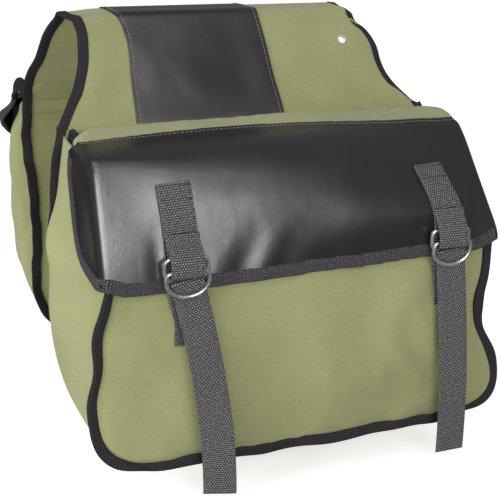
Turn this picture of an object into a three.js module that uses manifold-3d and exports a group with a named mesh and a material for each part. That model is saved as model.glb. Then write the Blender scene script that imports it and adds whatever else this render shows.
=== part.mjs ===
// A throw-over saddle bag: two canvas bags joined by a yoke that lies over a rear rack.
// Millimetres. X is the bags' width, Y runs from the front bag (-Y) to the rear bag (+Y), +Z is up.
// The origin is the centre of the yoke's flat underside.
//
// Each bag is drawn in its own frame with +Y pointing away from the rack, and turned into place:
// "out" is that distance from the centre plane, and "left" is the left side of a person facing the flap.

import * as THREE from 'three';
import { mergeVertices } from 'three/addons/utils/BufferGeometryUtils.js';
import Module from 'manifold-3d';

// ---- Driving dimensions ----

const CANVAS = 2;             // lined canvas
const LEATHER = 2;            // coated leather cloth with its backing
const WEBBING = 1.6;
const WEBBING_WIDTH = 25;
const TAPE_WIDTH = 10;        // binding tape, folded over an edge
const GAP = 0.3;              // clearance between neighbouring pieces

const YOKE_FLAT = 23;         // half the depth of the yoke's flat top
const YOKE_WAIST = 121;       // half the yoke's width over the rack
const YOKE_FOOT = 152;        // half its width where it meets a bag
const HINGE_OUT = 83;         // line where the yoke, back panel and flap are sewn together
const HINGE_Z = -73.5;
const BAND_X = [-95, 27];     // sides of the leather band across the yoke
const EYELET = { x: 97, out: 42, radius: 2.5 };

const BOTTOM_Z = -306;
const BOTTOM_HALF = 161.5;    // half-width of a bag near its bottom
const BOTTOM_RADIUS = 34;
const MOUTH_HALF = 153;       // half-width at the mouth
const MOUTH_Z = -93;
const FLARE_Z = -190;         // below this the sides run out to the bottom's width
const SEAM_TAPE = 6.5;        // how far a bound seam stands out from the bag

const STRIP_HALF = 154;       // canvas strip that carries the flap
const WING_IN = 160.3;        // inner face of the flap's side wings
const FLAP_EDGE_Z = -168;     // lower edge of the flap, binding included
const SHOULDER_Z = -142;      // below this the flap's front hangs straight

const STRAP_X = 105;
const STRAP_TOP_Z = -92;
const STITCH_Z = -131.5;      // where the ring loop leaves the flap
const RING = { wire: 3, width: 35, height: 21 };
const RING_DROP = 9;          // the front ring hangs this much lower than the back ring
const FRONT_BAR_Z = -155.5;
const ANCHOR_Z = -213;        // lower end of the sewn part of the lower strap
const FOLD_Z = -171.5;        // centre of the lower strap's fold, behind the front ring
const TAIL_Z = -333;

// The front bag is packed full and the rear bag hangs slack. frontOut is the outer face of the front
// panel, shoulder the start of the flap's bend, and tailLean how far a strap's tail hangs to the left.
const FRONT_BAG = { name: 'front', frontOut: 197, shoulder: 156, stripOut: 132, tailLean: [-28, -19] };
const REAR_BAG = { name: 'rear', frontOut: 137, shoulder: 118, stripOut: 112, tailLean: [0, 0] };

// ---- Materials ----

const MATERIALS = {
  canvas: { color: 0xa3a46f, roughness: 0.9, metalness: 0 },
  leather: { color: 0x26262a, roughness: 0.4, metalness: 0 },
  tape: { color: 0x333238, roughness: 0.85, metalness: 0 },
  webbing: { color: 0x3a393d, roughness: 0.8, metalness: 0 },
  nickel: { color: 0xd6d6d6, roughness: 0.2, metalness: 1 },
};

function piece(name, materialName, geometry) {
  const mesh = new THREE.Mesh(geometry, new THREE.MeshStandardMaterial(MATERIALS[materialName]));
  mesh.name = name;
  return mesh;
}

// ---- Solids ----

const wasm = await Module();
wasm.setup();

function toSolid(geometry) {
  const bare = geometry.clone();
  bare.deleteAttribute('normal');
  bare.deleteAttribute('uv');
  const welded = mergeVertices(bare, 1e-4);
  return new wasm.Manifold(new wasm.Mesh({
    numProp: 3,
    vertProperties: new Float32Array(welded.attributes.position.array),
    triVerts: new Uint32Array(welded.index.array),
  }));
}

function toGeometry(solid) {
  const mesh = solid.getMesh();
  const geometry = new THREE.BufferGeometry();
  geometry.setAttribute('position', new THREE.BufferAttribute(mesh.vertProperties, 3));
  geometry.setIndex(new THREE.BufferAttribute(mesh.triVerts, 1));
  geometry.computeVertexNormals();
  return geometry;
}

function join(...geometries) {
  return toGeometry(geometries.map(toSolid).reduce((whole, next) => whole.add(next)));
}

function common(...geometries) {
  return toGeometry(geometries.map(toSolid).reduce((whole, next) => whole.intersect(next)));
}

function cut(geometry, tool) {
  return toGeometry(toSolid(geometry).subtract(toSolid(tool)));
}

const AXIS_X = new THREE.Vector3(1, 0, 0);
const AXIS_Y = new THREE.Vector3(0, 1, 0);
const AXIS_Z = new THREE.Vector3(0, 0, 1);

function toShape(outline) {
  return new THREE.Shape(outline.map(([a, b]) => new THREE.Vector2(a, b)));
}

function extrude(outline, length, hole) {
  const shape = toShape(outline);
  if (hole) shape.holes.push(toShape(hole));
  return new THREE.ExtrudeGeometry(shape, { depth: length, bevelEnabled: false });
}

// A (y, z) outline swept from x0 to x1.
function alongX(outline, x0, x1, hole) {
  const turn = new THREE.Matrix4().makeBasis(AXIS_Y, AXIS_Z, AXIS_X);
  return extrude(outline, x1 - x0, hole).applyMatrix4(turn).translate(x0, 0, 0);
}

// An (x, z) outline swept from y0 to y1.
function alongY(outline, y0, y1) {
  const turn = new THREE.Matrix4().makeBasis(AXIS_X, AXIS_Z, AXIS_Y.clone().negate());
  return extrude(outline, y1 - y0).applyMatrix4(turn).translate(0, y1, 0);
}

// An (x, y) outline swept from z0 to z1.
function alongZ(outline, z0, z1) {
  return extrude(outline, z1 - z0).translate(0, 0, z0);
}

function box([x0, x1], [y0, y1], [z0, z1]) {
  const geometry = new THREE.BoxGeometry(x1 - x0, y1 - y0, z1 - z0);
  return geometry.translate((x0 + x1) / 2, (y0 + y1) / 2, (z0 + z1) / 2);
}

// ---- Lines and sheets ----

// Points of an ellipse's arc, with angles in degrees from the first axis.
function arc(centreA, centreB, radiusA, radiusB, from, to, steps) {
  const points = [];
  for (let i = 0; i <= steps; i++) {
    const angle = THREE.MathUtils.degToRad(from + (to - from) * i / steps);
    points.push([centreA + radiusA * Math.cos(angle), centreB + radiusB * Math.sin(angle)]);
  }
  return points;
}

// The line moved sideways by distance, to the left of its direction of travel.
function offset(line, distance) {
  const normals = line.slice(1).map(([a, b], i) => {
    const [da, db] = [a - line[i][0], b - line[i][1]];
    const length = Math.hypot(da, db);
    return [-db / length, da / length];
  });
  return line.map(([a, b], i) => {
    const before = normals[Math.max(i - 1, 0)];
    const after = normals[Math.min(i, normals.length - 1)];
    const sum = [before[0] + after[0], before[1] + after[1]];
    const scale = distance / (1 + before[0] * after[0] + before[1] * after[1]);
    return [a + sum[0] * scale, b + sum[1] * scale];
  });
}

// A closed outline: the strip between two offsets of a line.
function strip(line, near, far) {
  return [...offset(line, near), ...offset(line, far).reverse()];
}

function mirrored(line) {
  return line.map(([a, b]) => [-a, b]).reverse();
}

// ---- Yoke ----

// Middle of the canvas, from the seam on the rear bag's side over the top to the front bag's side.
const YOKE_TRIM = 2.3;
function yokeLine(trim) {
  const topZ = CANVAS / 2;
  const slope = new THREE.Vector2(YOKE_FLAT - HINGE_OUT, topZ - HINGE_Z).setLength(trim);
  const half = [[HINGE_OUT + slope.x, HINGE_Z + slope.y], [YOKE_FLAT, topZ]];
  return [...half, ...mirrored(half)];
}

function yokeHalfWidth(y) {
  const start = 10;
  const t = Math.max(Math.abs(y) - start, 0) / (HINGE_OUT - start);
  return YOKE_WAIST + (YOKE_FOOT - YOKE_WAIST) * t ** 2;
}

function yokeEdge(inset) {
  const steps = 16;
  const points = [];
  for (let i = 0; i <= steps; i++) {
    const y = HINGE_OUT * (2 * i / steps - 1);
    points.push([yokeHalfWidth(y) - inset, y]);
  }
  return points;
}

function yokePieces() {
  const span = [HINGE_Z - 10, 20];
  const sheet = alongX(strip(yokeLine(YOKE_TRIM), -CANVAS / 2, CANVAS / 2), -YOKE_FOOT, YOKE_FOOT);
  const inner = yokeEdge(TAPE_WIDTH);
  const plan = alongZ([...inner, ...inner.map(([x, y]) => [-x, y]).reverse()], ...span);
  const eyelet = new THREE.CylinderGeometry(EYELET.radius, EYELET.radius, 60, 12)
    .rotateX(Math.PI / 2).translate(EYELET.x, -EYELET.out, -20);
  const canvas = cut(common(sheet, plan), eyelet);

  const bandTop = -(CANVAS / 2 + GAP + 1.5);
  const band = alongX(strip(yokeLine(YOKE_TRIM + 3), -(CANVAS / 2 + GAP), bandTop), ...BAND_X);

  const tape = alongX(strip(yokeLine(YOKE_TRIM), -CANVAS / 2 - 0.6, CANVAS / 2), -YOKE_FOOT, YOKE_FOOT);
  const tapePlan = [...yokeEdge(0), ...yokeEdge(TAPE_WIDTH - GAP).reverse()];
  const rightTape = common(tape, alongZ(tapePlan, ...span));
  const leftTape = common(tape, alongZ(mirrored(tapePlan), ...span));

  return [
    piece('yoke_canvas', 'canvas', canvas),
    piece('yoke_centre_band', 'leather', band),
    piece('yoke_binding_left', 'tape', leftTape),
    piece('yoke_binding_right', 'tape', rightTape),
  ];
}

// ---- Bag body ----

const BACK_IN = HINGE_OUT - CANVAS / 2;
const BACK_OUT = HINGE_OUT + CANVAS / 2;
const BACK_TOP_Z = HINGE_Z - 1.8;

function bottomCorner() {
  return arc(BOTTOM_HALF - BOTTOM_RADIUS, BOTTOM_Z + BOTTOM_RADIUS, BOTTOM_RADIUS, BOTTOM_RADIUS, -90, 0, 6);
}

// Both seam lines run from the left side's top, round the bottom, to the right side's top.
// The left of travel is the inside of the bag.
function frontSeam(topZ) {
  const right = [...bottomCorner(), [MOUTH_HALF, FLARE_Z], [MOUTH_HALF, topZ]];
  return [...mirrored(right), ...right];
}

function backSeam() {
  const shoulder = [162, HINGE_Z - 76];
  const ear = [155, HINGE_Z - 30];
  const top = [144, BACK_TOP_Z];
  const right = [...bottomCorner(), shoulder, ear, top];
  return [...mirrored(right), ...right];
}

// Outer face of the flap, in (out, z): a flat top, a quarter-ellipse shoulder and a straight drop.
// inward moves the shoulder and the drop in by the same distance, for the panels beneath.
const FLAP_CLEARANCE = 5;
function shoulderArc(bag, inward, from, to) {
  const radiusOut = bag.frontOut + FLAP_CLEARANCE - bag.shoulder - inward;
  const radiusUp = SHOULDER_Z * -1 + HINGE_Z - 4 - inward;
  return arc(bag.shoulder, SHOULDER_Z, radiusOut, radiusUp, from, to, 7);
}

// Outer face of the front panel, from above the mouth down past the bottom.
function panelLine(bag) {
  return [...shoulderArc(bag, FLAP_CLEARANCE, 80, 0), [bag.frontOut, BOTTOM_Z - 20]];
}

// Everything between the back panel and a face set back from the front panel's outer face.
function behindPanel(bag, setback) {
  const face = offset(panelLine(bag), -setback);
  return [[HINGE_OUT, face[0][1]], ...face, [HINGE_OUT, face.at(-1)[1]]];
}

function bodyPieces(bag) {
  const reach = BOTTOM_HALF + SEAM_TAPE + 10;
  const underMouth = box([-reach, reach], [0, 300], [BOTTOM_Z - 20, MOUTH_Z]);

  const backPanel = alongY(backSeam(), BACK_IN, BACK_OUT);
  const backTape = alongY(strip(backSeam(), -GAP, -(SEAM_TAPE + GAP)), BACK_IN - 0.6, BACK_OUT);

  const gussetTube = alongY(strip(frontSeam(MOUTH_Z), 0, CANVAS), BACK_OUT + GAP, 300);
  const gusset = common(gussetTube, alongX(behindPanel(bag, CANVAS + GAP), -reach, reach));

  const panelSheet = alongX(strip(panelLine(bag), 0, -CANVAS), -reach, reach);
  const frontPanel = common(panelSheet, alongY(frontSeam(MOUTH_Z), 0, 300), underMouth);

  const seamSheet = alongX(strip(panelLine(bag), 2, -CANVAS - 3), -reach, reach);
  const seamBand = alongY(strip(frontSeam(MOUTH_Z), -GAP, -(SEAM_TAPE - GAP)), 0, 300);
  const frontTape = common(seamSheet, seamBand, underMouth);

  return [
    piece(`${bag.name}_back_panel`, 'canvas', backPanel),
    piece(`${bag.name}_back_binding`, 'tape', backTape),
    piece(`${bag.name}_gusset`, 'canvas', gusset),
    piece(`${bag.name}_front_panel`, 'canvas', frontPanel),
    piece(`${bag.name}_front_binding`, 'tape', frontTape),
    piece(`${bag.name}_mouth_binding`, 'tape', mouthBinding(bag)),
  ];
}

// Tape folded over the mouth's edge: along both gusset tops and across the front panel's top.
function mouthBinding(bag) {
  const height = [MOUTH_Z + GAP, MOUTH_Z + 6];
  const side = [MOUTH_HALF - CANVAS - 1, MOUTH_HALF + 1];
  const lip = 0.6;
  const slab = box([-side[1], side[1]], [0, 300], height);
  const across = common(alongX(strip(panelLine(bag), lip, -CANVAS - lip), -side[1], side[1]), slab);
  const under = alongX(behindPanel(bag, -lip), -side[1], side[1]);
  const bars = [1, -1].map((sign) => {
    const x = side.map((value) => value * sign).sort((a, b) => a - b);
    return common(box(x, [BACK_OUT + GAP, 300], height), under);
  });
  return join(across, ...bars);
}

// ---- Flap ----

const FLAP_HINGE_OUT = HINGE_OUT + 3.5;
const FLAP_TRIM = 1.8;
const FLAP_TOP_Z = HINGE_Z - 4;     // outer face where the shoulder starts
const TAPE_PROUD = 0.8;             // a folded tape is thicker than the edge it covers

// Outer face of the whole flap, from the hinge to the top of the edge binding.
function flapLine(bag, fromOut) {
  const startZ = HINGE_Z + CANVAS / 2;
  const t = (fromOut - FLAP_HINGE_OUT) / (bag.shoulder - FLAP_HINGE_OUT);
  const front = bag.frontOut + FLAP_CLEARANCE;
  return [
    [fromOut, THREE.MathUtils.lerp(startZ, FLAP_TOP_Z, t)],
    ...shoulderArc(bag, 0, 90, 0),
    [front, FLAP_EDGE_Z + TAPE_WIDTH + 3 * GAP],
  ];
}

// Free edge of a side wing, from the leather's top edge round to the front.
function wingEdge(bag) {
  const front = bag.frontOut + FLAP_CLEARANCE;
  const back = bag.stripOut - 10;
  const depth = front - back;
  const points = [
    [bag.stripOut, FLAP_TOP_Z - 2],
    [back, -100],
    [back + 0.03 * depth, -125],
    [back + 0.2 * depth, -153],
    [back + 0.5 * depth, FLAP_EDGE_Z + 2],
    [front - 0.15 * depth, FLAP_EDGE_Z],
    [front + 1, FLAP_EDGE_Z],
  ];
  const curve = new THREE.SplineCurve(points.map(([a, b]) => new THREE.Vector2(a, b)));
  return curve.getPoints(18).map((point) => [point.x, point.y]);
}

function flapPieces(bag) {
  const front = bag.frontOut + FLAP_CLEARANCE;
  const wingOut = WING_IN + LEATHER;
  const stripStart = FLAP_HINGE_OUT + FLAP_TRIM;

  const top = flapLine(bag, stripStart);
  const canvasStrip = alongX(strip(top.slice(0, 2), 0, -CANVAS), -STRIP_HALF, STRIP_HALF);
  const canvas = common(canvasStrip, box([-200, 200], [0, bag.stripOut - 2 * GAP], [-100, 0]));

  const line = flapLine(bag, bag.stripOut);
  const edge = wingEdge(bag);
  const leatherEdge = offset(edge, TAPE_WIDTH + 2 * GAP);
  const sheet = alongX(strip(line, 0, -LEATHER), -wingOut, wingOut);
  const inside = alongX([...line, [front, -400], [0, -400], [0, 0], [bag.stripOut, 0]], -200, 200);
  const wingOutline = [...leatherEdge.slice(0, -1), ...line.slice(1).reverse(), line[0]];
  const wing = (x) => common(alongX(wingOutline, x, x + LEATHER), inside);
  const leather = join(sheet, wing(WING_IN), wing(-wingOut));

  const tapeIn = WING_IN - TAPE_PROUD / 2;
  const tapeOut = wingOut + TAPE_PROUD;
  const frontTape = box([-tapeOut, tapeOut], [front - LEATHER - TAPE_PROUD / 2, front + TAPE_PROUD],
    [FLAP_EDGE_Z, FLAP_EDGE_Z + TAPE_WIDTH]);
  const wingTape = alongX(strip(edge, 0, TAPE_WIDTH), tapeIn, tapeOut);
  const otherTape = alongX(strip(edge, 0, TAPE_WIDTH), -tapeOut, -tapeIn);

  return [
    piece(`${bag.name}_flap_canvas`, 'canvas', canvas),
    piece(`${bag.name}_flap_leather`, 'leather', leather),
    piece(`${bag.name}_flap_binding`, 'tape', join(frontTape, wingTape, otherTape)),
  ];
}

// ---- Straps and rings ----

// Distances from the flap's outer face, for the loop, its two ring bars and the lower strap.
const LOOP_BACK = 1.6;
const SLOT = 6.8;                 // inside of the loop, across both rings
const BACK_BAR = LOOP_BACK + WEBBING + RING.wire / 2 + 0.2;
const FRONT_BAR = BACK_BAR + RING.wire + 0.4;
const STRAP_UP = 2.3;             // the lower strap's way up, and its tail's way down
const STRAP_DOWN = 5.5;

// The webbing's middle line swept across its width.
function webbing(line, thickness, x) {
  const outline = strip(line, thickness / 2, -thickness / 2);
  return alongX(outline, x - WEBBING_WIDTH / 2, x + WEBBING_WIDTH / 2);
}

// Two layers of webbing sewn down on the flap's shoulder.
function flapStrap(bag, x) {
  const radiusUp = FLAP_TOP_Z - SHOULDER_Z;
  const [from, to] = [STRAP_TOP_Z, STITCH_Z + 2.5]
    .map((z) => THREE.MathUtils.radToDeg(Math.asin((z - SHOULDER_Z) / radiusUp)));
  const middle = offset(shoulderArc(bag, 0, from, to), GAP + WEBBING);
  return webbing(middle, 2 * WEBBING, x);
}

// The free end of the flap strap, folded round the bars of both rings.
function ringLoop(bag, x) {
  const face = bag.frontOut + FLAP_CLEARANCE;
  const top = STITCH_Z - 2;
  const slotTop = FRONT_BAR_Z + RING_DROP + 3;
  const slotBottom = FRONT_BAR_Z - RING.wire / 2 - GAP;
  const back = face + LOOP_BACK;
  const front = back + SLOT + 2 * WEBBING;
  const bottom = slotBottom - WEBBING;
  const chamfer = 2;
  const outline = [
    [face + 2 * GAP, top],
    [face + 2 * GAP + 2 * WEBBING, top],
    [front, slotTop],
    [front, bottom + chamfer],
    [front - chamfer, bottom],
    [back + chamfer, bottom],
    [back, bottom + chamfer],
    [back, slotTop],
  ];
  const slot = [
    [back + WEBBING, slotTop],
    [back + WEBBING, slotBottom],
    [back + WEBBING + SLOT, slotBottom],
    [back + WEBBING + SLOT, slotTop],
  ];
  return alongX(outline, x - WEBBING_WIDTH / 2, x + WEBBING_WIDTH / 2, slot);
}

// A D-ring of bent wire that hangs from its bar. The wire's ends meet in the middle of the bar.
function ring(x, y, barZ) {
  const half = (RING.width - RING.wire) / 2;
  const drop = RING.height - RING.wire;
  const bend = 3;
  const leg = 9;
  const side = [
    [GAP / 2, 0],
    [half / 2, 0],
    ...arc(half - bend, -bend, bend, bend, 90, 0, 3),
    ...arc(0, -leg, half, drop - leg, 0, -90, 8),
  ];
  const path = [...side, ...side.slice(0, -1).map(([a, b]) => [-a, b]).reverse()];
  const curve = new THREE.CatmullRomCurve3(path.map(([a, b]) => new THREE.Vector3(a, 0, b)));
  const section = new THREE.Shape().absarc(0, 0, RING.wire / 2, 0, 2 * Math.PI);
  const geometry = new THREE.ExtrudeGeometry(section, { steps: 30, curveSegments: 4, extrudePath: curve });
  return geometry.translate(x, y, barZ);
}

// One strap: sewn to the front panel, up behind the front ring, folded, and its tail hanging free.
function lowerStrap(bag, x, lean) {
  const face = bag.frontOut + FLAP_CLEARANCE;
  const onPanel = bag.frontOut + GAP + WEBBING / 2;
  const radius = (STRAP_DOWN - STRAP_UP) / 2;
  const line = [
    [onPanel, ANCHOR_Z],
    [onPanel, ANCHOR_Z + 12],
    [face + STRAP_UP, FOLD_Z - 6],
    ...arc(face + STRAP_UP + radius, FOLD_Z, radius, radius, 180, 0, 6),
    [face + STRAP_DOWN, TAIL_Z],
  ];
  const geometry = webbing(line, WEBBING, x);
  const position = geometry.attributes.position;
  for (let i = 0; i < position.count; i++) {
    const below = FOLD_Z - position.getZ(i);
    const inTail = position.getY(i) > face + STRAP_UP + radius && below > 0;
    if (inTail) position.setX(i, position.getX(i) + lean * below / (FOLD_Z - TAIL_Z));
  }
  return geometry;
}

function strapPieces(bag, side, x, lean) {
  const name = `${bag.name}_${side}`;
  const face = bag.frontOut + FLAP_CLEARANCE;
  return [
    piece(`${name}_flap_strap`, 'webbing', flapStrap(bag, x)),
    piece(`${name}_ring_loop`, 'webbing', ringLoop(bag, x)),
    piece(`${name}_back_ring`, 'nickel', ring(x, face + BACK_BAR, FRONT_BAR_Z + RING_DROP)),
    piece(`${name}_front_ring`, 'nickel', ring(x, face + FRONT_BAR, FRONT_BAR_Z)),
    piece(`${name}_lower_strap`, 'webbing', lowerStrap(bag, x, lean)),
  ];
}

// ---- Assembly ----

function bagGroup(bag, turn) {
  const group = new THREE.Group();
  group.add(
    ...bodyPieces(bag),
    ...flapPieces(bag),
    ...strapPieces(bag, 'left', STRAP_X, bag.tailLean[0]),
    ...strapPieces(bag, 'right', -STRAP_X, bag.tailLean[1]),
  );
  group.rotation.z = turn;
  return group;
}

const saddleBag = new THREE.Group();
saddleBag.add(...yokePieces(), bagGroup(FRONT_BAG, Math.PI), bagGroup(REAR_BAG, 0));

export default saddleBag;
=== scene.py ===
"""A throw-over double saddle bag: canvas bags, coated-leather flaps and band, bound seams,
webbing straps and double D-rings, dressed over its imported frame."""

import math
from dataclasses import dataclass, field

import bmesh
import bpy
import numpy as np
from mathutils import Matrix, Vector


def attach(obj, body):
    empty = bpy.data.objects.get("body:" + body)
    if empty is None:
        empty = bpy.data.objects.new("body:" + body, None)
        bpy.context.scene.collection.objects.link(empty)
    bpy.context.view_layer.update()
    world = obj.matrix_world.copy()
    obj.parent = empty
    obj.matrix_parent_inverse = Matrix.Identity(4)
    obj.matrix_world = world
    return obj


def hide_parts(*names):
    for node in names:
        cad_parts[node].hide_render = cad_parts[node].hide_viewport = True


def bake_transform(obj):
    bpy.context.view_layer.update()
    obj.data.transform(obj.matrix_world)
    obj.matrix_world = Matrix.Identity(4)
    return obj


# Lengths are in millimetres until a mesh is made. A bag is drawn in its own frame: x to the left of
# a person facing its flap, "out" away from the rack, z up. The origin is the yoke's underside.

CANVAS = 1.6
LEATHER = 1.4
WEBBING = 1.6
WEBBING_WIDTH = 25.0
TAPE = 3.2                    # thickness of a folded tape with the cloth inside it
SEAM_TAPE = 7.0               # how far a bound seam stands out
YOKE_TAPE = 8.5
FLAP_TAPE = 10.0

PANEL_PRESSURE = 0.4          # pressure that fills out a panel, in the cloth solver's unit
PANEL_SLACK = 0.009           # share by which a panel's cloth is larger than its outline
CLOTH_FRAMES = 16             # steps for which the cloth is left to fill out

HINGE_OUT = 83.0
MOUTH_Z = -93.0
STITCH_Z = -131.5             # where the ring loop leaves the flap
BACK_BAR_Z = -146.5
FRONT_BAR_Z = -155.5
ANCHOR_Z = -213.0
TAIL_Z = -334.0
SEAM_BOTTOM = -306.8
SEAM_LENGTH = 820.0           # of a front seam, roughly, to space its waves
FLAP_HINGE = (83.5, 91.0)     # how far out the flap's canvas starts and ends its bend
HINGE_HALF = 141.5            # half the flap's width at its hinge
BACK_STITCHES = (-82.0, -94.0)
STRAP_LIFT = 0.9              # middle of a flap strap's lower layer above the leather
STRAP_FOLLOW = 0.55           # share of the leather's tilt that a flap strap takes up
STITCH_INSET = 2.0            # from a strap's edge to its stitches
RING_WIRE = 3.0
RING_WIDTH = 35.0
RING_HEIGHT = 21.0
BAND_LEFT = [(-86, -98), (-75, -96), (-60, -93.5), (-43, -91), (-33, -91.5), (-27, -93), (-20, -98),
             (0, -97), (30, -95), (86, -95)]          # (y, x) along the leather band's left edge
BAND_RIGHT = 26.5                                     # x of its straight right edge
EYELET = (97.0, -42.0)        # x, y of the sewn eyelet in the yoke
EYELET_SIZE = (3.4, 2.2)      # half its length and half its width


# ---- Lines ----

def smooth_line(points, rounds=3):
    """A polyline with its corners cut, so that it bends softly."""
    line = np.array(points, float)
    for _ in range(rounds):
        near = line[:-1] * 0.75 + line[1:] * 0.25
        far = line[:-1] * 0.25 + line[1:] * 0.75
        cut = np.stack([near, far], 1).reshape(-1, line.shape[1])
        line = np.vstack([line[:1], cut, line[-1:]])
    return line


def resample(line, count):
    """Evenly spaced points along a polyline."""
    steps = np.linalg.norm(np.diff(line, axis=0), axis=1)
    along = np.concatenate([[0.0], np.cumsum(steps)])
    want = np.linspace(0.0, along[-1], count)
    return np.stack([np.interp(want, along, line[:, k]) for k in range(line.shape[1])], 1)


def soft(points, count):
    """A smooth line through a few points, in count even steps."""
    return resample(smooth_line(points), count)


def through(stations, values, x):
    """Smooth curve through values at ascending stations, read at each x."""
    stations, values, x = np.array(stations, float), np.array(values, float), np.atleast_1d(x)
    slopes = np.gradient(values, stations, axis=0)
    k = np.clip(np.searchsorted(stations, x) - 1, 0, len(stations) - 2)
    width = stations[k + 1] - stations[k]
    t = np.clip((x - stations[k]) / width, 0, 1)
    shape = (-1,) + (1,) * (values.ndim - 1)
    t, width = t.reshape(shape), width.reshape(shape)
    return ((2 * t**3 - 3 * t**2 + 1) * values[k] + (t**3 - 2 * t**2 + t) * width * slopes[k]
            + (3 * t**2 - 2 * t**3) * values[k + 1] + (t**3 - t**2) * width * slopes[k + 1])


def averaged(line, width):
    """Each point replaced by the mean of its neighbours; the ends stay."""
    half = width // 2
    padded = np.vstack([line[:1]] * half + [line] + [line[-1:]] * half)
    return np.mean([padded[k:k + len(line)] for k in range(width)], axis=0)


def ease(value, start, end):
    """0 up to start, 1 from end on, and a smooth step between them."""
    t = np.clip((np.asarray(value, float) - start) / (end - start), 0, 1)
    return t * t * (3 - 2 * t)


def ripple(a, b, wavelength, seed):
    """Smooth random field of about -1 to 1."""
    rng = np.random.default_rng(seed)
    total = 0.0
    for _ in range(6):
        angle, phase = rng.uniform(0, 2 * math.pi, 2)
        length = wavelength * rng.uniform(0.65, 1.7)
        total = total + np.sin(2 * math.pi * (a * math.cos(angle) + b * math.sin(angle)) / length + phase)
    return total / 2.6


def unit(vectors):
    return vectors / np.maximum(np.linalg.norm(vectors, axis=-1, keepdims=True), 1e-9)


# ---- Meshes ----

def make_object(name, vertices, faces, uvs, material):
    """A closed smooth mesh in metres, with one UV in millimetres for each face corner."""
    mesh = bpy.data.meshes.new(name)
    mesh.from_pydata(np.asarray(vertices).tolist(), [], faces)
    layer = mesh.uv_layers.new(name="UVMap")
    layer.data.foreach_set("uv", np.asarray(uvs, np.float32).ravel())
    work = bmesh.new()
    work.from_mesh(mesh)
    bmesh.ops.recalc_face_normals(work, faces=work.faces)
    for edge in work.edges:
        edge.smooth = edge.calc_face_angle(0.0) < math.radians(50)
    for face in work.faces:
        face.smooth = True
    work.to_mesh(mesh)
    work.free()
    mesh.materials.append(material)
    obj = bpy.data.objects.new(name, mesh)
    bpy.context.scene.collection.objects.link(obj)
    return obj


def sheet_faces(rows, columns, keep):
    """Front and back quads of a thickened grid, and its rim along every open edge."""
    back = rows * columns
    faces, edges = [], {}
    for r in range(rows - 1):
        for c in range(columns - 1):
            if keep is not None and not keep[r, c]:
                continue
            corner = r * columns + c
            quad = [corner, corner + 1, corner + columns + 1, corner + columns]
            faces.append(quad)
            faces.append([v + back for v in reversed(quad)])
            edges.update(dict.fromkeys(zip(quad, quad[1:] + quad[:1])))
    faces += [[b, a, a + back, b + back] for a, b in edges if (b, a) not in edges]
    return faces


def sheet(name, outer, thickness, material, keep=None):
    """A grid of points thickened towards its back. keep marks the cells that aren't cut out."""
    rows, columns = outer.shape[:2]
    normal = unit(np.cross(np.gradient(outer, axis=0), np.gradient(outer, axis=1)))
    inner = outer - normal * thickness
    points = np.vstack([outer.reshape(-1, 3), inner.reshape(-1, 3)]) / 1000
    across = np.cumsum(np.linalg.norm(np.diff(outer, axis=1, prepend=outer[:, :1]), axis=2), axis=1)
    down = np.cumsum(np.linalg.norm(np.diff(outer, axis=0, prepend=outer[:1]), axis=2), axis=0)
    across -= across[:, columns // 2:columns // 2 + 1]
    uv = np.stack([across, down], 2).reshape(-1, 2)
    uv = np.vstack([uv, uv])
    faces = sheet_faces(rows, columns, keep)
    return make_object(name, points, faces, uv[np.concatenate(faces)], material)


def add_cloth(panel, held):
    """Turns a panel into weightless cloth, with pressure behind it, held at some of its vertices."""
    panel.vertex_groups.new(name="held").add(held, 1.0, "REPLACE")
    cloth = panel.modifiers.new("cloth", "CLOTH")
    cloth.settings.quality = 5
    cloth.settings.vertex_group_mass = "held"
    cloth.settings.use_pressure = True
    cloth.settings.uniform_pressure_force = PANEL_PRESSURE
    cloth.settings.shrink_min = -PANEL_SLACK
    cloth.settings.bending_stiffness = 2.0
    cloth.settings.effector_weights.gravity = 0.0
    cloth.collision_settings.use_collision = False
    cloth.point_cache.frame_end = CLOTH_FRAMES


def filled_out(grid, limit):
    """A panel's grid after it is held along its edges as cloth and blown out by pressure.

    Each point moves limit mm at most, and less than that near the edges."""
    rows, columns = grid.shape[:2]
    index = np.arange(rows * columns).reshape(rows, columns)
    quads = np.stack([index[:-1, :-1], index[:-1, 1:], index[1:, 1:], index[1:, :-1]], -1).reshape(-1, 4)
    mesh = bpy.data.meshes.new("panel")
    mesh.from_pydata((grid.reshape(-1, 3) / 1000).tolist(), [], quads.tolist())
    panel = bpy.data.objects.new("panel", mesh)
    scene = bpy.context.scene
    scene.collection.objects.link(panel)
    held = np.concatenate([part.ravel() for part in (index[:2], index[-2:], index[:, :2], index[:, -2:])])
    add_cloth(panel, np.unique(held).tolist())
    for number in range(1, CLOTH_FRAMES + 1):
        scene.frame_set(number)
    shaped = panel.evaluated_get(bpy.context.evaluated_depsgraph_get())
    points = np.empty(rows * columns * 3, np.float32)
    shaped.data.vertices.foreach_get("co", points)
    move = points.reshape(grid.shape) * 1000 - grid
    size = np.linalg.norm(move, axis=2, keepdims=True)
    bpy.data.objects.remove(panel)
    bpy.data.meshes.remove(mesh)
    scene.frame_set(1)
    row, column = (np.minimum(np.arange(n), np.arange(n)[::-1]) / n for n in (rows, columns))
    free = np.outer(ease(row, 0.02, 0.13), ease(column, 0.02, 0.13))[..., None]
    return grid + free * move * limit * np.tanh(size / limit) / np.maximum(size, 1e-6)


def dress(obj, solid, body):
    """Shows obj in place of a CAD solid and lets it ride on a body."""
    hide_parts(solid)
    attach(obj, body)


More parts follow.
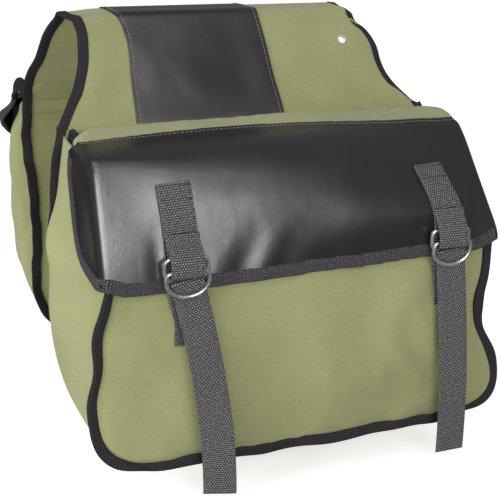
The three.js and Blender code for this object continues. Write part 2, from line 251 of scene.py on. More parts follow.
def sweep_data(path, wide, thick, section):
    """Vertices, faces and corner UVs of a closed section carried along a path, with both ends closed."""
    count, around = len(path), len(section)
    points = (path[:, None] + wide[:, None] * section[None, :, :1] + thick[:, None] * section[None, :, 1:])
    ring = np.vstack([section, section[:1]])
    u = np.concatenate([[0.0], np.cumsum(np.linalg.norm(np.diff(ring, axis=0), axis=1))])
    v = np.concatenate([[0.0], np.cumsum(np.linalg.norm(np.diff(path, axis=0), axis=1))])
    faces, uvs = [], []
    for i in range(count - 1):
        for j in range(around):
            k = (j + 1) % around
            faces.append([i * around + j, i * around + k, (i + 1) * around + k, (i + 1) * around + j])
            uvs += [(u[j], v[i]), (u[j + 1], v[i]), (u[j + 1], v[i + 1]), (u[j], v[i + 1])]
    for i, order in ((0, range(around)[::-1]), (count - 1, range(around))):
        faces.append([i * around + j for j in order])
        uvs += [(u[j], v[i]) for j in order]
    return points.reshape(-1, 3), faces, uvs


def merge(parts):
    points, faces, uvs, base = [], [], [], 0
    for part_points, part_faces, part_uvs in parts:
        points.append(part_points)
        faces += [[v + base for v in face] for face in part_faces]
        uvs += list(part_uvs)
        base += len(part_points)
    return np.vstack(points), faces, uvs


def sweep(name, parts, material):
    """One object from one or more (path, wide axis, thick axis, section)."""
    points, faces, uvs = merge([sweep_data(*part) for part in parts])
    return make_object(name, points / 1000, faces, uvs, material)


def rounded(width, thickness, radius, start=None):
    """Section of a strip with rounded corners: from start to start + width, centred when start is None."""
    left = -width / 2 if start is None else start
    points = []
    for corner, (cx, cy) in enumerate([(1, 1), (0, 1), (0, 0), (1, 0)]):
        for step in range(4):
            angle = math.pi / 2 * (corner + step / 3)
            points.append([left + (width - radius if cx else radius) + radius * math.cos(angle),
                           (thickness / 2 - radius) * (1 if cy else -1) + radius * math.sin(angle)])
    return densify(np.array(points), 3.2)


def densify(ring, spacing):
    """Adds points to a closed outline where its points are further apart than spacing."""
    points = []
    for a, b in zip(ring, np.roll(ring, -1, axis=0)):
        steps = max(1, int(np.linalg.norm(b - a) // spacing))
        points += [a + (b - a) * k / steps for k in range(steps)]
    return np.array(points)


def circle(radius, steps):
    angle = np.arange(steps) * 2 * math.pi / steps
    return np.stack([np.cos(angle), np.sin(angle)], 1) * radius


def tangents(path):
    return unit(np.gradient(path, axis=0))


def square_to(along, vectors):
    """The part of each vector that is square to the direction along, as a unit vector."""
    return unit(vectors - along * np.sum(vectors * along, 1)[:, None])


def stitches(name, runs, pitch=3.4, length=2.3, radius=0.34):
    """Rows of thread stitches. Each run is (points along a surface, outward normals)."""
    rng = np.random.default_rng(11)
    parts = []
    for path, normal in runs:
        total = np.linalg.norm(np.diff(path, axis=0), axis=1).sum()
        both = resample(np.hstack([path, normal * 1e-6]), max(int(total / pitch), 2))
        centre, up, along = both[:, :3], unit(both[:, 3:]), tangents(both[:, :3])
        side = unit(np.cross(up, along))
        for c, n, t, s in zip(centre, up, along, side):
            skew = s * rng.normal(0, 0.12)
            t = unit(t + skew)
            steps = np.linspace(-0.5, 0.5, 5)
            line = c + np.outer(steps * length, t) + np.outer(np.cos(steps * math.pi) * radius * 0.8, n)
            wide, thick = np.tile(s, (5, 1)), np.tile(n, (5, 1))
            taper = np.sqrt(np.clip(1 - (steps * 1.7) ** 2, 0.2, 1))[:, None]
            parts.append(sweep_data(line, wide * taper, thick * taper, circle(radius, 6)))
    points, faces, uvs = merge(parts)
    return make_object(name, points / 1000, faces, uvs, THREAD)


# ---- Materials ----

def rgb(red, green, blue):
    """Linear colour from 0 to 255 display values."""
    return tuple(((c / 255 + 0.055) / 1.055) ** 2.4 for c in (red, green, blue)) + (1.0,)


def feed(tree, node, inputs):
    """Links or sets a node's inputs."""
    for key, value in inputs.items():
        if isinstance(value, bpy.types.NodeSocket):
            tree.links.new(value, node.inputs[key])
        else:
            node.inputs[key].default_value = value
    return node


def shader(tree, kind, inputs=None, **settings):
    node = tree.nodes.new("ShaderNode" + kind)
    for key, value in settings.items():
        setattr(node, key, value)
    return feed(tree, node, inputs or {})


def start_material(name):
    material = bpy.data.materials.new(name)
    material.use_nodes = True
    tree = material.node_tree
    surface = tree.nodes["Principled BSDF"]
    uv = shader(tree, "UVMap").outputs["UV"]
    return material, tree, surface, uv


def noise(tree, vector, scale, detail=2.0):
    return shader(tree, "TexNoise", {"Vector": vector, "Scale": scale, "Detail": detail}).outputs["Fac"]


def mix(tree, factor, first, second):
    node = shader(tree, "Mix", data_type="RGBA")
    return feed(tree, node, {0: factor, 6: first, 7: second}).outputs[2]


def span(tree, value, low, high, to_low=0.0, to_high=1.0):
    """Maps low..high to to_low..to_high."""
    return shader(tree, "MapRange", {"Value": value, "From Min": low, "From Max": high,
                                     "To Min": to_low, "To Max": to_high}).outputs["Result"]


def math_node(tree, operation, first, second):
    return shader(tree, "Math", {0: first, 1: second}, operation=operation).outputs[0]


def bump(tree, surface, *layers):
    """Stacks (height, distance in mm) layers on the surface's normal."""
    normal = None
    for height, distance in layers:
        inputs = {"Height": height, "Distance": distance / 1000, "Strength": 1.0}
        if normal is not None:
            inputs["Normal"] = normal
        normal = shader(tree, "Bump", inputs).outputs["Normal"]
    tree.links.new(normal, surface.inputs["Normal"])


def weave(tree, uv, pitch):
    """Height of a plain weave with the given thread pitch."""
    scale = 2 * math.pi / (20 * 2 * pitch)
    warp = shader(tree, "TexWave", {"Vector": uv, "Scale": scale, "Distortion": 0.4}, bands_direction="X")
    weft = shader(tree, "TexWave", {"Vector": uv, "Scale": scale, "Distortion": 0.4}, bands_direction="Y")
    first = math_node(tree, "SUBTRACT", warp.outputs["Fac"], 0.5)
    second = math_node(tree, "SUBTRACT", weft.outputs["Fac"], 0.5)
    return math_node(tree, "MULTIPLY_ADD", math_node(tree, "MULTIPLY", first, second), 2.0)


def worn(tree, low=0.56, high=0.75):
    """About 1 on the ridges of a mesh and 0 elsewhere."""
    return span(tree, shader(tree, "NewGeometry").outputs["Pointiness"], low, high)


def canvas_material():
    material, tree, surface, uv = start_material("canvas")
    place = shader(tree, "TexCoord").outputs["Object"]
    threads = weave(tree, uv, 0.55)
    speckle = noise(tree, uv, 0.85, 3.0)
    broad = noise(tree, place, 7.0, 2.0)
    slub = noise(tree, shader(tree, "Mapping", {"Vector": uv, "Scale": (0.06, 1.4, 1.0)}).outputs[0], 1.0)
    colour = mix(tree, span(tree, broad, 0.35, 0.65), rgb(160, 161, 111), rgb(179, 180, 127))
    colour = mix(tree, span(tree, speckle, 0.35, 0.65, 0.0, 0.5), colour, rgb(140, 141, 95))
    colour = mix(tree, span(tree, slub, 0.5, 0.72, 0.0, 0.35), colour, rgb(190, 190, 142))
    colour = mix(tree, span(tree, threads, -0.5, 0.5, 0.18, 0.0), colour, rgb(100, 103, 66))
    colour = mix(tree, math_node(tree, "MULTIPLY", worn(tree), 0.2), colour, rgb(205, 203, 160))
    rough = span(tree, speckle, 0.3, 0.7, 0.82, 0.96)
    feed(tree, surface, {"Base Color": colour, "Roughness": rough, "Specular IOR Level": 0.25,
                         "Sheen Weight": 0.25, "Sheen Roughness": 0.5})
    bump(tree, surface, (threads, 0.22), (speckle, 0.25), (noise(tree, place, 45.0, 2.0), 0.5))
    return material


def leather_material():
    material, tree, surface, uv = start_material("coated_leather")
    place = shader(tree, "TexCoord").outputs["Object"]
    cells = shader(tree, "TexVoronoi", {"Vector": uv, "Scale": 0.9}, feature="DISTANCE_TO_EDGE")
    grain = span(tree, cells.outputs["Distance"], 0.0, 0.25)
    cloud = noise(tree, place, 14.0, 3.0)
    colour = mix(tree, span(tree, cloud, 0.35, 0.7), rgb(27, 27, 30), rgb(36, 36, 39))
    colour = mix(tree, span(tree, grain, 0.0, 1.0, 0.25, 0.0), colour, rgb(20, 20, 22))
    colour = mix(tree, math_node(tree, "MULTIPLY", worn(tree, 0.55, 0.7), 0.4), colour, rgb(96, 95, 94))
    rough = span(tree, cloud, 0.3, 0.7, 0.29, 0.36)
    feed(tree, surface, {"Base Color": colour, "Roughness": rough, "Specular IOR Level": 0.9})
    bump(tree, surface, (grain, 0.02), (noise(tree, uv, 0.3, 3.0), 0.07), (noise(tree, uv, 0.1, 2.0), 0.11),
         (noise(tree, uv, 0.04, 1.0), 0.35))
    return material


def floats(tree, uv, wide, tall):
    """Height of a ribbon's woven floats: rounded, in rows, with every other row moved by half a float."""
    place = shader(tree, "SeparateXYZ", {"Vector": uv})
    row = math_node(tree, "DIVIDE", place.outputs["Y"], tall)
    shift = math_node(tree, "MULTIPLY", math_node(tree, "FLOOR", row, 0.0), 0.5)
    column = math_node(tree, "ADD", math_node(tree, "DIVIDE", place.outputs["X"], wide), shift)
    arches = []
    for place in (column, row):
        angle = math_node(tree, "MULTIPLY", math_node(tree, "FRACT", place, 0.0), math.pi)
        arches.append(math_node(tree, "SINE", angle, 0.0))
    return math_node(tree, "POWER", math_node(tree, "MULTIPLY", *arches), 0.7)


def woven_material(name, light, dark, wide, tall, relief, roughness):
    """Coarse woven ribbon with pale floats over a dark ground."""
    material, tree, surface, uv = start_material(name)
    shade = noise(tree, uv, 0.5, 2.0)
    height = floats(tree, uv, wide, tall)
    colour = mix(tree, span(tree, height, 0.25, 0.9), dark, light)
    colour = mix(tree, span(tree, shade, 0.35, 0.75, 0.0, 0.6), colour, dark)
    colour = mix(tree, math_node(tree, "MULTIPLY", worn(tree), 0.2), colour, rgb(128, 126, 122))
    rough = span(tree, shade, 0.3, 0.7, roughness - 0.08, roughness + 0.08)
    feed(tree, surface, {"Base Color": colour, "Roughness": rough, "Specular IOR Level": 0.3})
    bump(tree, surface, (height, relief), (noise(tree, uv, 2.4, 2.0), 0.1))
    return material


def thread_material():
    material, tree, surface, uv = start_material("thread")
    pattern = {"Vector": uv, "Scale": 0.9, "Distortion": 1.0}
    twist = shader(tree, "TexWave", pattern, bands_direction="DIAGONAL").outputs["Fac"]
    colour = mix(tree, twist, rgb(104, 103, 100), rgb(158, 156, 150))
    feed(tree, surface, {"Base Color": colour, "Roughness": 0.6})
    bump(tree, surface, (twist, 0.05))
    return material


def nickel_material():
    material, tree, surface, uv = start_material("nickel_wire")
    place = shader(tree, "TexCoord").outputs["Object"]
    drawn = shader(tree, "Mapping", {"Vector": uv, "Scale": (3.0, 0.25, 1.0)}).outputs[0]
    scratch = noise(tree, drawn, 1.0, 4.0)
    tarnish = noise(tree, place, 120.0, 2.0)
    colour = mix(tree, span(tree, tarnish, 0.4, 0.75), rgb(214, 212, 207), rgb(158, 155, 149))
    rough = span(tree, scratch, 0.3, 0.7, 0.2, 0.36)
    feed(tree, surface, {"Base Color": colour, "Roughness": rough, "Metallic": 0.8})
    bump(tree, surface, (scratch, 0.03))
    return material


# ---- Bags ----

@dataclass
class Bag:
    name: str
    turn: int                # -1 turns the bag half round, to the rack's other side
    packed: bool             # full, or almost empty
    stations: list           # (x, outer line of the flap and the face below it, as (out, z) points)
    leather_top: list        # (x, out) where the flap's leather starts
    flap_edge: tuple         # z of the flap's lower edge at its right, middle and left
    wing: list               # free edge of a side wing, (out, z), from top to front
    left_seam: list          # front seam (x, z) from the mouth to the bottom, left side
    right_seam: list         # the same for the right side, with x positive
    face: float              # how far out the front of the flap is, where the rings lie
    back_left: list          # back seam (x, z), left side
    back_right: list         # the same for the right side, with x positive
    curl: list               # free end of the mouth's tape, (x, out, z)
    narrow: float            # how much the upper part of the flap's right side is drawn in
    wing_x: float            # outer face of the flap's side wings
    swell: float             # how far the gusset stands out between its seams
    straps: dict             # side: (x of the top, x of the rings, lean of the tail)
    skin_xs: np.ndarray = field(default=None)
    skin: np.ndarray = field(default=None)

    def world(self, points):
        return np.asarray(points, float) * (self.turn, self.turn, 1)

    def strip(self, path, wide, thick, section):
        """What sweep() needs for a strip drawn in the bag's frame."""
        return self.world(path), self.world(wide), self.world(thick), section

    def body(self, part):
        return f"{self.name}_{part}"


SKIN_POINTS = 320
SKIN_X = 162.0


def prepare(bag):
    """Fills in the bag's outer skin: one line of SKIN_POINTS (out, z) points for each x."""
    xs = np.array([x for x, _ in bag.stations], float)
    lines = np.array([soft(line, SKIN_POINTS) for _, line in bag.stations])
    bag.skin_xs = np.linspace(-SKIN_X, SKIN_X, 109)
    bag.skin = through(xs, lines, bag.skin_xs)
    return bag


def skin_lines(bag, x, inward=0.0):
    """Skin line at each x, moved in by a distance."""
    x = np.clip(np.atleast_1d(x), -SKIN_X, SKIN_X)
    place = (x + SKIN_X) / (2 * SKIN_X) * (len(bag.skin_xs) - 1)
    low = np.clip(place.astype(int), 0, len(bag.skin_xs) - 2)
    t = (place - low)[:, None, None]
    lines = bag.skin[low] * (1 - t) + bag.skin[low + 1] * t
    along = np.gradient(lines, axis=1)
    normal = unit(np.stack([-along[..., 1], along[..., 0]], -1))
    return lines - normal * inward


def out_at(bag, x, z, inward=0.0):
    """How far out the skin is at each (x, z), below its shoulder."""
    x, z = np.broadcast_arrays(np.asarray(x, float), np.asarray(z, float))
    lines = skin_lines(bag, x.ravel(), inward)
    fall = np.maximum.accumulate(-lines[..., 1], axis=1)
    values = [np.interp(-height, line_z, line[:, 0]) for height, line_z, line in zip(z.ravel(), fall, lines)]
    return np.array(values).reshape(x.shape)


def face_ripple(x, z, seed):
    return 0.9 * ripple(x, z, 85, seed) + 0.35 * ripple(x, z, 34, seed + 1)


# ---- Yoke ----

YOKE_LINE = [(-84.5, -76.5), (-81, -71), (-52, -35.5), (-28.5, -6.0), (-22.5, 2.4), (-13, 2.6), (0, 2.0)]
YOKE_LEFT = [(-86, 162), (-80, 157.5), (-75, 152.5), (-69, 147.5), (-63, 142), (-55, 137), (-47, 133),
             (-39, 131), (-31, 129.5), (-24, 131), (-17, 134), (16, 133.5), (25, 132.5), (31, 137), (39, 141),
             (48, 143), (57, 145), (65, 150), (76, 152), (86, 152)]
YOKE_RIGHT = [(-86, 156), (-78, 149.5), (-72, 143), (-65, 136), (-58, 131), (-50, 129.5), (-44, 130.5),
              (-38, 128.5), (-32, 124), (-28, 117), (-23, 115), (0, 120), (18, 119), (38, 124), (62, 133),
              (75, 143), (86, 153)]
RIGHT_CURL = 6.0              # how far the yoke's right edge turns down


def yoke_profile(count, lift=0.0):
    """Points (y, z) of the yoke's outer surface, from the front hinge over the top to the rear one."""
    half = np.array(YOKE_LINE, float)
    line = soft(np.vstack([half, (half * (-1, 1))[-2::-1]]), count)
    along = np.gradient(line, axis=0)
    normal = unit(np.stack([-along[:, 1], along[:, 0]], 1))
    return line + normal * lift


def yoke_edge(side, y):
    line = smooth_line(YOKE_LEFT if side < 0 else YOKE_RIGHT, 2)
    return side * np.interp(y, line[:, 0], line[:, 1])


def yoke_point(x, profile):
    """Grid points over the yoke: x is rows by columns, profile one (y, z) for each row."""
    y = np.repeat(profile[:, :1], x.shape[1], axis=1)
    z = np.repeat(profile[:, 1:], x.shape[1], axis=1)
    slack = ease(np.abs(y), 20, 45) * (1 - ease(np.abs(y), 66, 80))
    z = z + slack * (1.0 * ripple(x, y, 90, 5) + 0.35 * ripple(x, y, 30, 6))
    folds = np.sin((x * 0.8 - y) / 7.5) * np.exp(-((x + 122) / 16) ** 2 - ((y + 62) / 14) ** 2)
    folds = folds + np.sin((x * 0.5 + y) / 6.5) * np.exp(-((x - 60) / 26) ** 2 - ((y + 72) / 9) ** 2)
    z = z + 1.9 * folds
    right = np.clip(1 - (yoke_edge(1, y) - x) / 11, 0, 1)
    z = z - RIGHT_CURL * right ** 1.6 * ease(-y, -30, 10) * (1 - ease(-y, 76, 84))
    droop = ease(-x, 100, 134) * (1 - ease(np.abs(y), 18, 36))
    return np.stack([x, y, z - 2.5 * droop], 2)


def yoke_canvas():
    """The folded canvas. Grid points inside the eyelet move to its rim and their cells are left out."""
    rows, columns = 170, 130
    profile = yoke_profile(rows)
    left = yoke_edge(-1, profile[:, 0]) + 1.5
    right = yoke_edge(1, profile[:, 0]) - 1.5
    grid = yoke_point(left[:, None] + (right - left)[:, None] * np.linspace(0, 1, columns), profile)
    away = (grid[..., :2] - EYELET) / EYELET_SIZE
    reach = np.linalg.norm(away, axis=2)
    inside = reach < 1.0
    rim = (away / np.maximum(reach, 1e-6)[..., None] * EYELET_SIZE + EYELET)[inside]
    front = profile[:rows // 2]
    grid[inside] = np.column_stack([rim, np.interp(rim[:, 1], front[:, 0], front[:, 1])])
    keep = ~(inside[:-1, :-1] & inside[1:, :-1] & inside[:-1, 1:] & inside[1:, 1:])
    cloth = sheet("yoke_cloth", grid[:, ::-1], CANVAS, CANVAS_CLOTH, keep[:, ::-1])
    dress(cloth, "yoke_canvas", "yoke")
    eyelet_stitching(front)


def eyelet_stitching(front):
    """Buttonhole stitches over the eyelet's rim, on the front slope given by (y, z) points."""
    angle = np.linspace(0, 2 * math.pi, 33)
    y = EYELET[1] + (EYELET_SIZE[1] + 0.2) * np.sin(angle)
    z = np.interp(y, front[:, 0], front[:, 1]) + 0.2
    path = np.stack([EYELET[0] + (EYELET_SIZE[0] + 0.2) * np.cos(angle), y, z], 1)
    normal = np.tile(unit(np.array([0.0, -0.78, 0.63])), (33, 1))
    across = unit(np.cross(normal, tangents(path)))
    over = [(p + np.array([[-0.6], [0], [0.6]]) * a + np.array([[0], [0.5], [0]]) * n)
            for p, a, n in zip(resample(path, 25)[:-1], resample(across, 25), normal)]
    parts = [sweep_data(soft(line, 6), np.tile(unit(np.cross(line[2] - line[0], normal[0])), (6, 1)),
                        np.tile(normal[0], (6, 1)), circle(0.36, 6)) for line in over]
    points, faces, uvs = merge(parts)
    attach(make_object("yoke_eyelet_stitching", points / 1000, faces, uvs, EYELET_THREAD), "yoke")


def yoke_band():
    rows, columns = 150, 50
    profile = yoke_profile(rows + 2, 1.1)[1:-1]
    spread = np.linspace(0, 1, columns)
    outline = smooth_line(BAND_LEFT, 2)
    left = np.interp(profile[:, :1], outline[:, 0], outline[:, 1])
    x = left + (BAND_RIGHT - left) * spread
    x = x + (np.abs(spread - 0.5) * 2)[None] ** 4 * 1.2 * ripple(profile[:, :1], 0.0, 50, 8)
    band = sheet("yoke_leather_band", yoke_point(x, profile)[:, ::-1], 1.1, COATED_LEATHER)
    dress(band, "yoke_centre_band", "yoke")
    seams = []
    for column, inset in ((0, 3.0), (-1, -3.0)):
        edge = yoke_point(x[:, [column]] + inset, profile)[:, 0]
        normal = unit(np.stack([np.zeros(rows), -np.gradient(profile[:, 1]), np.gradient(profile[:, 0])], 1))
        seams.append((edge, normal))
    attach(stitches("yoke_band_stitching", seams), "yoke")


def yoke_bindings():
    profile = yoke_profile(120, -CANVAS / 2)
    for side, name in ((-1, "left"), (1, "right")):
        x = yoke_edge(side, profile[:, 0]) + 0.6 * ripple(profile[:, 0], side * 40, 45, 12)
        both = yoke_point(np.stack([x, x - side * YOKE_TAPE], 1), profile)
        path, inside = both[:, 0], both[:, 1]
        along = tangents(path)
        across = unit(inside - path)
        square = square_to(along, across)
        at_hinge = ease(np.abs(profile[:, :1]), 58, 76)
        inward = unit(square * (1 - at_hinge) + across * at_hinge)
        up = unit(np.cross(along, inward)) * side * -1
        tape = sweep(f"yoke_{name}_tape", [(path, inward, up, rounded(YOKE_TAPE, TAPE, 1.2, 0.0))],
                     SEAM_BINDING)
        dress(tape, f"yoke_binding_{name}", "yoke")


# ---- Body of a bag ----

def seam_loop(left, right, count):
    """Seam (x, z) from the left side's top, under the bag, to the right side's top."""
    right = [(-x, z) for x, z in reversed(right)]
    return soft([*left, (0, SEAM_BOTTOM), *right], count)


def seam_normals(line):
    along = tangents(line)
    return np.stack([-along[:, 1], along[:, 0]], 1)


def blend_at_hinge(obj, bag):
    bag.body("bag")
    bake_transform(obj)


def across_panel(left, right, t):
    """(x, z) grids between a panel's edges: t is 0 on its right edge and 1 on its left one."""
    x = -right[:, :1] * (1 - t) + left[:, :1] * t
    z = right[:, 1:] * (1 - t) + left[:, 1:] * t
    return x, z


def back_panel(bag):
    """Hangs against the rack, with a lip that leans up to the yoke and two rows of stitches below it."""
    rows, columns = 90, 60
    sides = []
    for seam in (bag.back_left, bag.back_right):
        top = seam[0][0]
        lip = np.stack([np.linspace(top - 8, top, 6), np.linspace(-67, -73.3, 6)], 1)
        sides.append(np.vstack([lip, soft(seam, rows - 6)]))
    spread = np.linspace(-1, 1, columns)
    x, z = across_panel(*sides, (spread + 1) / 2)
    out = HINGE_OUT + 1.0 - np.maximum(z + 77, 0) * 0.95
    loose = ease(-z, 85, 130) * (1 - ease(-z, 285, 306)) * (1 - np.abs(spread) ** 6)
    out = out + loose * (1.6 * ripple(x, z, 130, 21) + 0.5 * ripple(x, z, 48, 22))
    grid = bag.world(np.stack([x, out, z], 2))
    cloth = sheet(bag.body("back_cloth"), grid, CANVAS, CANVAS_CLOTH)
    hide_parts(bag.body("back_panel"))
    blend_at_hinge(cloth, bag)

    seams = []
    for height in BACK_STITCHES:
        xs = np.linspace(-143, 143, 120)
        level = height + 0.8 * np.sin(xs / 37)
        row = np.stack([xs, np.interp(level, z[::-1, 0], out[::-1, columns // 2]) - CANVAS - 0.1, level], 1)
        seams.append((bag.world(row), bag.world(np.tile([0.0, -1.0, 0.0], (120, 1)))))
    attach(stitches(bag.body("back_stitching"), seams), bag.body("bag"))


def front_seam(bag, count):
    """Front seam in (x, out, z) with its outward directions."""
    line = seam_loop(bag.left_seam, bag.right_seam, count)
    out = out_at(bag, line[:, 0], line[:, 1], 5.0) - 3.0
    along = np.linspace(0, 1, count)
    out = out + 1.3 * ripple(along * SEAM_LENGTH, bag.turn * 7.0, 62, 31)
    normal = seam_normals(line)
    return np.stack([line[:, 0], out, line[:, 1]], 1), normal


def gusset(bag):
    """The strip round the bag's sides and bottom, between its two seams. It swells as the bag is packed."""
    count, columns = 190, 26
    front, front_normal = front_seam(bag, count)
    left, right = ([(seam[0][0] + 1.5, -81)] + seam[2:] for seam in (bag.back_left, bag.back_right))
    back = seam_loop(left, right, count)
    back_normal = seam_normals(back)
    back = np.stack([back[:, 0], np.full(count, HINGE_OUT + 1.8), back[:, 1]], 1)
    t = np.linspace(0, 1, columns)[None, :, None]
    grid = back[:, None] * (1 - t) + front[:, None] * t
    normal = unit(back_normal[:, None] * (1 - t) + front_normal[:, None] * t)
    along = np.linspace(0, SEAM_LENGTH, count)[:, None]
    down = ease(-grid[..., 2], *((105, 165) if bag.packed else (92, 118)))
    down = down * (1 - 0.85 * ease(-grid[..., 2], 225, 292))
    t = t[..., 0]
    below_flap = ease(-grid[..., 2], 160, 200) if bag.packed else 1.0
    near_back = (t / 0.18) * np.exp(1 - t / 0.18) * (1 - t) / 0.82
    hump = near_back * (1 - below_flap) + np.sin(math.pi * t ** 0.8) ** 0.8 * below_flap
    swell = hump * (bag.swell * down + 1.2 + down * 1.8 * ripple(along, t * 110, 95, 41 + bag.turn))
    swell = swell + hump * down * 0.5 * ripple(along, t * 110, 36, 44)
    grid[..., 0] += normal[..., 0] * swell
    grid[..., 2] += normal[..., 1] * swell
    grid = filled_out(bag.world(grid)[:, ::-1], 3.0)
    cloth = sheet(bag.body("side_cloth"), grid, CANVAS, CANVAS_CLOTH)
    dress(cloth, bag.body("gusset"), bag.body("bag"))


def front_panel(bag):
    """Follows the bag's skin a little way in, and rolls back into its seam."""
    rows, columns = 100, 110
    left, right = soft(bag.left_seam, rows), soft(bag.right_seam, rows)
    x, z = across_panel(left, right, np.linspace(0, 1, columns))
    edge = np.minimum(np.minimum(left[:, :1] - x, x + right[:, :1]), z + 307.0)
    roll = np.clip(1 - edge / 11, 0, 1) ** 2
    out = out_at(bag, x, z, 5.0) - 3.2 * roll
    calm = 1 - ease(z, -175, -150)
    out = out + calm * (1 - roll) * face_ripple(x, z, 51)
    grid = filled_out(bag.world(np.stack([x, out, z], 2))[:, ::-1], 4.0)
    cloth = sheet(bag.body("face_cloth"), grid, CANVAS, CANVAS_CLOTH)
    dress(cloth, bag.body("front_panel"), bag.body("bag"))


def seam_tape(bag, name, path, normal, lean, seed):
    """Tape folded over a seam that stands out round the bag, wavy as sewn tape is."""
    count = len(path)
    along = np.linspace(0, 850, count)
    tilt = 0.28 * ripple(along, 0.0, 58, seed) + lean
    outward = np.stack([normal[:, 0] * np.cos(tilt), np.sin(tilt), normal[:, 1] * np.cos(tilt)], 1)
    puff = 0.9 * ripple(along, 9.0, 44, seed + 1)
    centre = path + outward * puff[:, None]
    thick = unit(np.cross(outward, tangents(path)))
    section = rounded(SEAM_TAPE + 1.5, TAPE + 0.3, 1.4, -1.5)
    return sweep(name, [bag.strip(centre, outward, thick, section)], SEAM_BINDING)


def body_bindings(bag):
    path, normal = front_seam(bag, 260)
    lean = 0.5 * ease(path[:, 0], 90, 135) if bag.packed else 0.0
    tape = seam_tape(bag, bag.body("front_tape"), path, normal, lean, 61)
    dress(tape, bag.body("front_binding"), bag.body("bag"))

    line = seam_loop(bag.back_left, bag.back_right, 280)
    normal = seam_normals(line)
    out = HINGE_OUT + 0.6 - np.maximum(line[:, 1] + 77, 0) * 0.62
    path = np.stack([line[:, 0], out, line[:, 1]], 1)
    tape = seam_tape(bag, bag.body("back_tape"), path, normal, 0.0, 64)
    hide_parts(bag.body("back_binding"))
    blend_at_hinge(tape, bag)


def mouth_tape(bag):
    """Tape round the mouth's edge, with one end curling up beside the flap's hinge."""
    across = np.linspace(bag.left_seam[0][0] - 1, 1 - bag.right_seam[0][0], 90)
    face = np.stack([across, out_at(bag, across, np.full(90, MOUTH_Z), 5.0) - 0.8, np.full(90, MOUTH_Z)], 1)
    sides = []
    for side in (1, -1):
        front = face[0 if side > 0 else -1]
        top = (bag.back_left if side > 0 else bag.back_right)[0][0]
        back = np.array([side * (top - 1), HINGE_OUT + 5.5, -80.0])
        sides.append(np.linspace(back, front, 30))
    around = [sides[0][:-2], face[2:-2], sides[1][-3::-1]]
    if bag.curl[0][0] < 0:
        around = [part[::-1] for part in reversed(around)]
    count = 260
    path = resample(smooth_line(np.vstack([np.array(bag.curl), *around]), 2), count)
    path[:, 2] += 0.5 * ripple(np.linspace(0, 560, count), 3.0, 40, 71)
    along = tangents(path)
    up = square_to(along, np.tile([0.0, 0.0, 1.0], (count, 1)))
    thick = unit(np.cross(up, along))
    strip = bag.strip(path, up, thick, rounded(9.0, TAPE, 1.2, -7.5))
    tape = sweep(bag.body("mouth_tape"), [strip], SEAM_BINDING)
    dress(tape, bag.body("mouth_binding"), bag.body("bag"))


# ---- Flap ----

def leather_start(bag, x):
    """How far out the leather's top edge is at each x."""
    return through(*zip(*bag.leather_top), x)


def edge_height(bag, x):
    """Height of the flap's lower edge, which rises at its rounded corners."""
    corner = np.clip((np.abs(x) - bag.wing_x + 24) / 24, 0, 1)
    return through([-bag.wing_x, 0, bag.wing_x], bag.flap_edge, x) + 9.0 * corner ** 2


def drawn_in(bag, grid):
    """Narrows the upper part of the flap's right side."""
    share = bag.narrow * (1 - ease(-grid[..., 2], 135, 165)) / bag.wing_x
    moved = grid.copy()
    moved[..., 0] = np.where(grid[..., 0] < 0, grid[..., 0] * (1 - share), grid[..., 0])
    return moved


def flap_folds(bag, x, z):
    """Soft folds that run up from the flap's lower edge."""
    low = 1 - ease(z, -165, -118)
    folds = 0.0
    if bag.packed:
        slant = x + 0.45 * (z + 165)
        folds = 1.0 * np.sin(slant / 6.1 + 0.9) * np.exp(-((slant - 50) / 30) ** 2)
        folds = folds - 1.3 * np.exp(-((x - 119) / 6) ** 2)
    return low * folds + 0.5 * ripple(x, z, 70, 81) * ease(-z, 80, 100)


def flap_cloth(bag):
    """Canvas from the hinge to under the leather, widening on the way, with its side edges rolled down."""
    rows, columns = 34, 120
    spread = np.linspace(-1, 1, columns)
    lines = skin_lines(bag, spread * 158, 0.0)
    end = leather_start(bag, spread * 158) + 7
    grid = np.zeros((rows, columns, 3))
    for c, line in enumerate(lines):
        stop = np.searchsorted(line[:, 0], end[c])
        part = resample(line[:max(stop, 4)], rows)
        wider = bag.wing_x - 3.5 - HINGE_HALF
        width = HINGE_HALF + wider * ease(part[:, 0], 82, 128 if spread[c] > 0 else 108)
        grid[:, c, 0] = spread[c] * width
        grid[:, c, 1:] = part
    edge = (1 - np.abs(spread)) * 155
    grid[..., 2] -= (np.where(spread > 0, 4.5, 1.0) * np.clip(1 - edge / 11, 0, 1) ** 2)[None]
    tuck = 1.3 * ease(grid[..., 1], (end - 9)[None], (end - 6)[None])
    hinge = 1 - ease(grid[..., 1], 86, 94)
    pucker = 0.5 * np.sin(grid[..., 0] / 3.1 + 2 * np.sin(grid[..., 0] / 17))
    pucker = pucker * (1 - ease(grid[..., 1], 88, 112))
    puff = ease(grid[..., 1], 88, 100) * 0.7 * ripple(grid[..., 0], grid[..., 1], 75, 84)
    grid[..., 2] += (pucker + puff) * (1 - hinge) - tuck
    grid = bag.world(drawn_in(bag, grid))[:, ::-1]
    cloth = sheet(bag.body("lid_cloth"), grid, CANVAS, CANVAS_CLOTH)
    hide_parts(bag.body("flap_canvas"))
    start, end = (tuple(bag.world([0, out, 0]) / 1000) for out in FLAP_HINGE)
    bag.body("bag")
    bag.body("flap")
    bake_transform(cloth)


CORNER = 6.0          # radius of the bend between the flap's face and a wing
FLAP_ROWS = 90


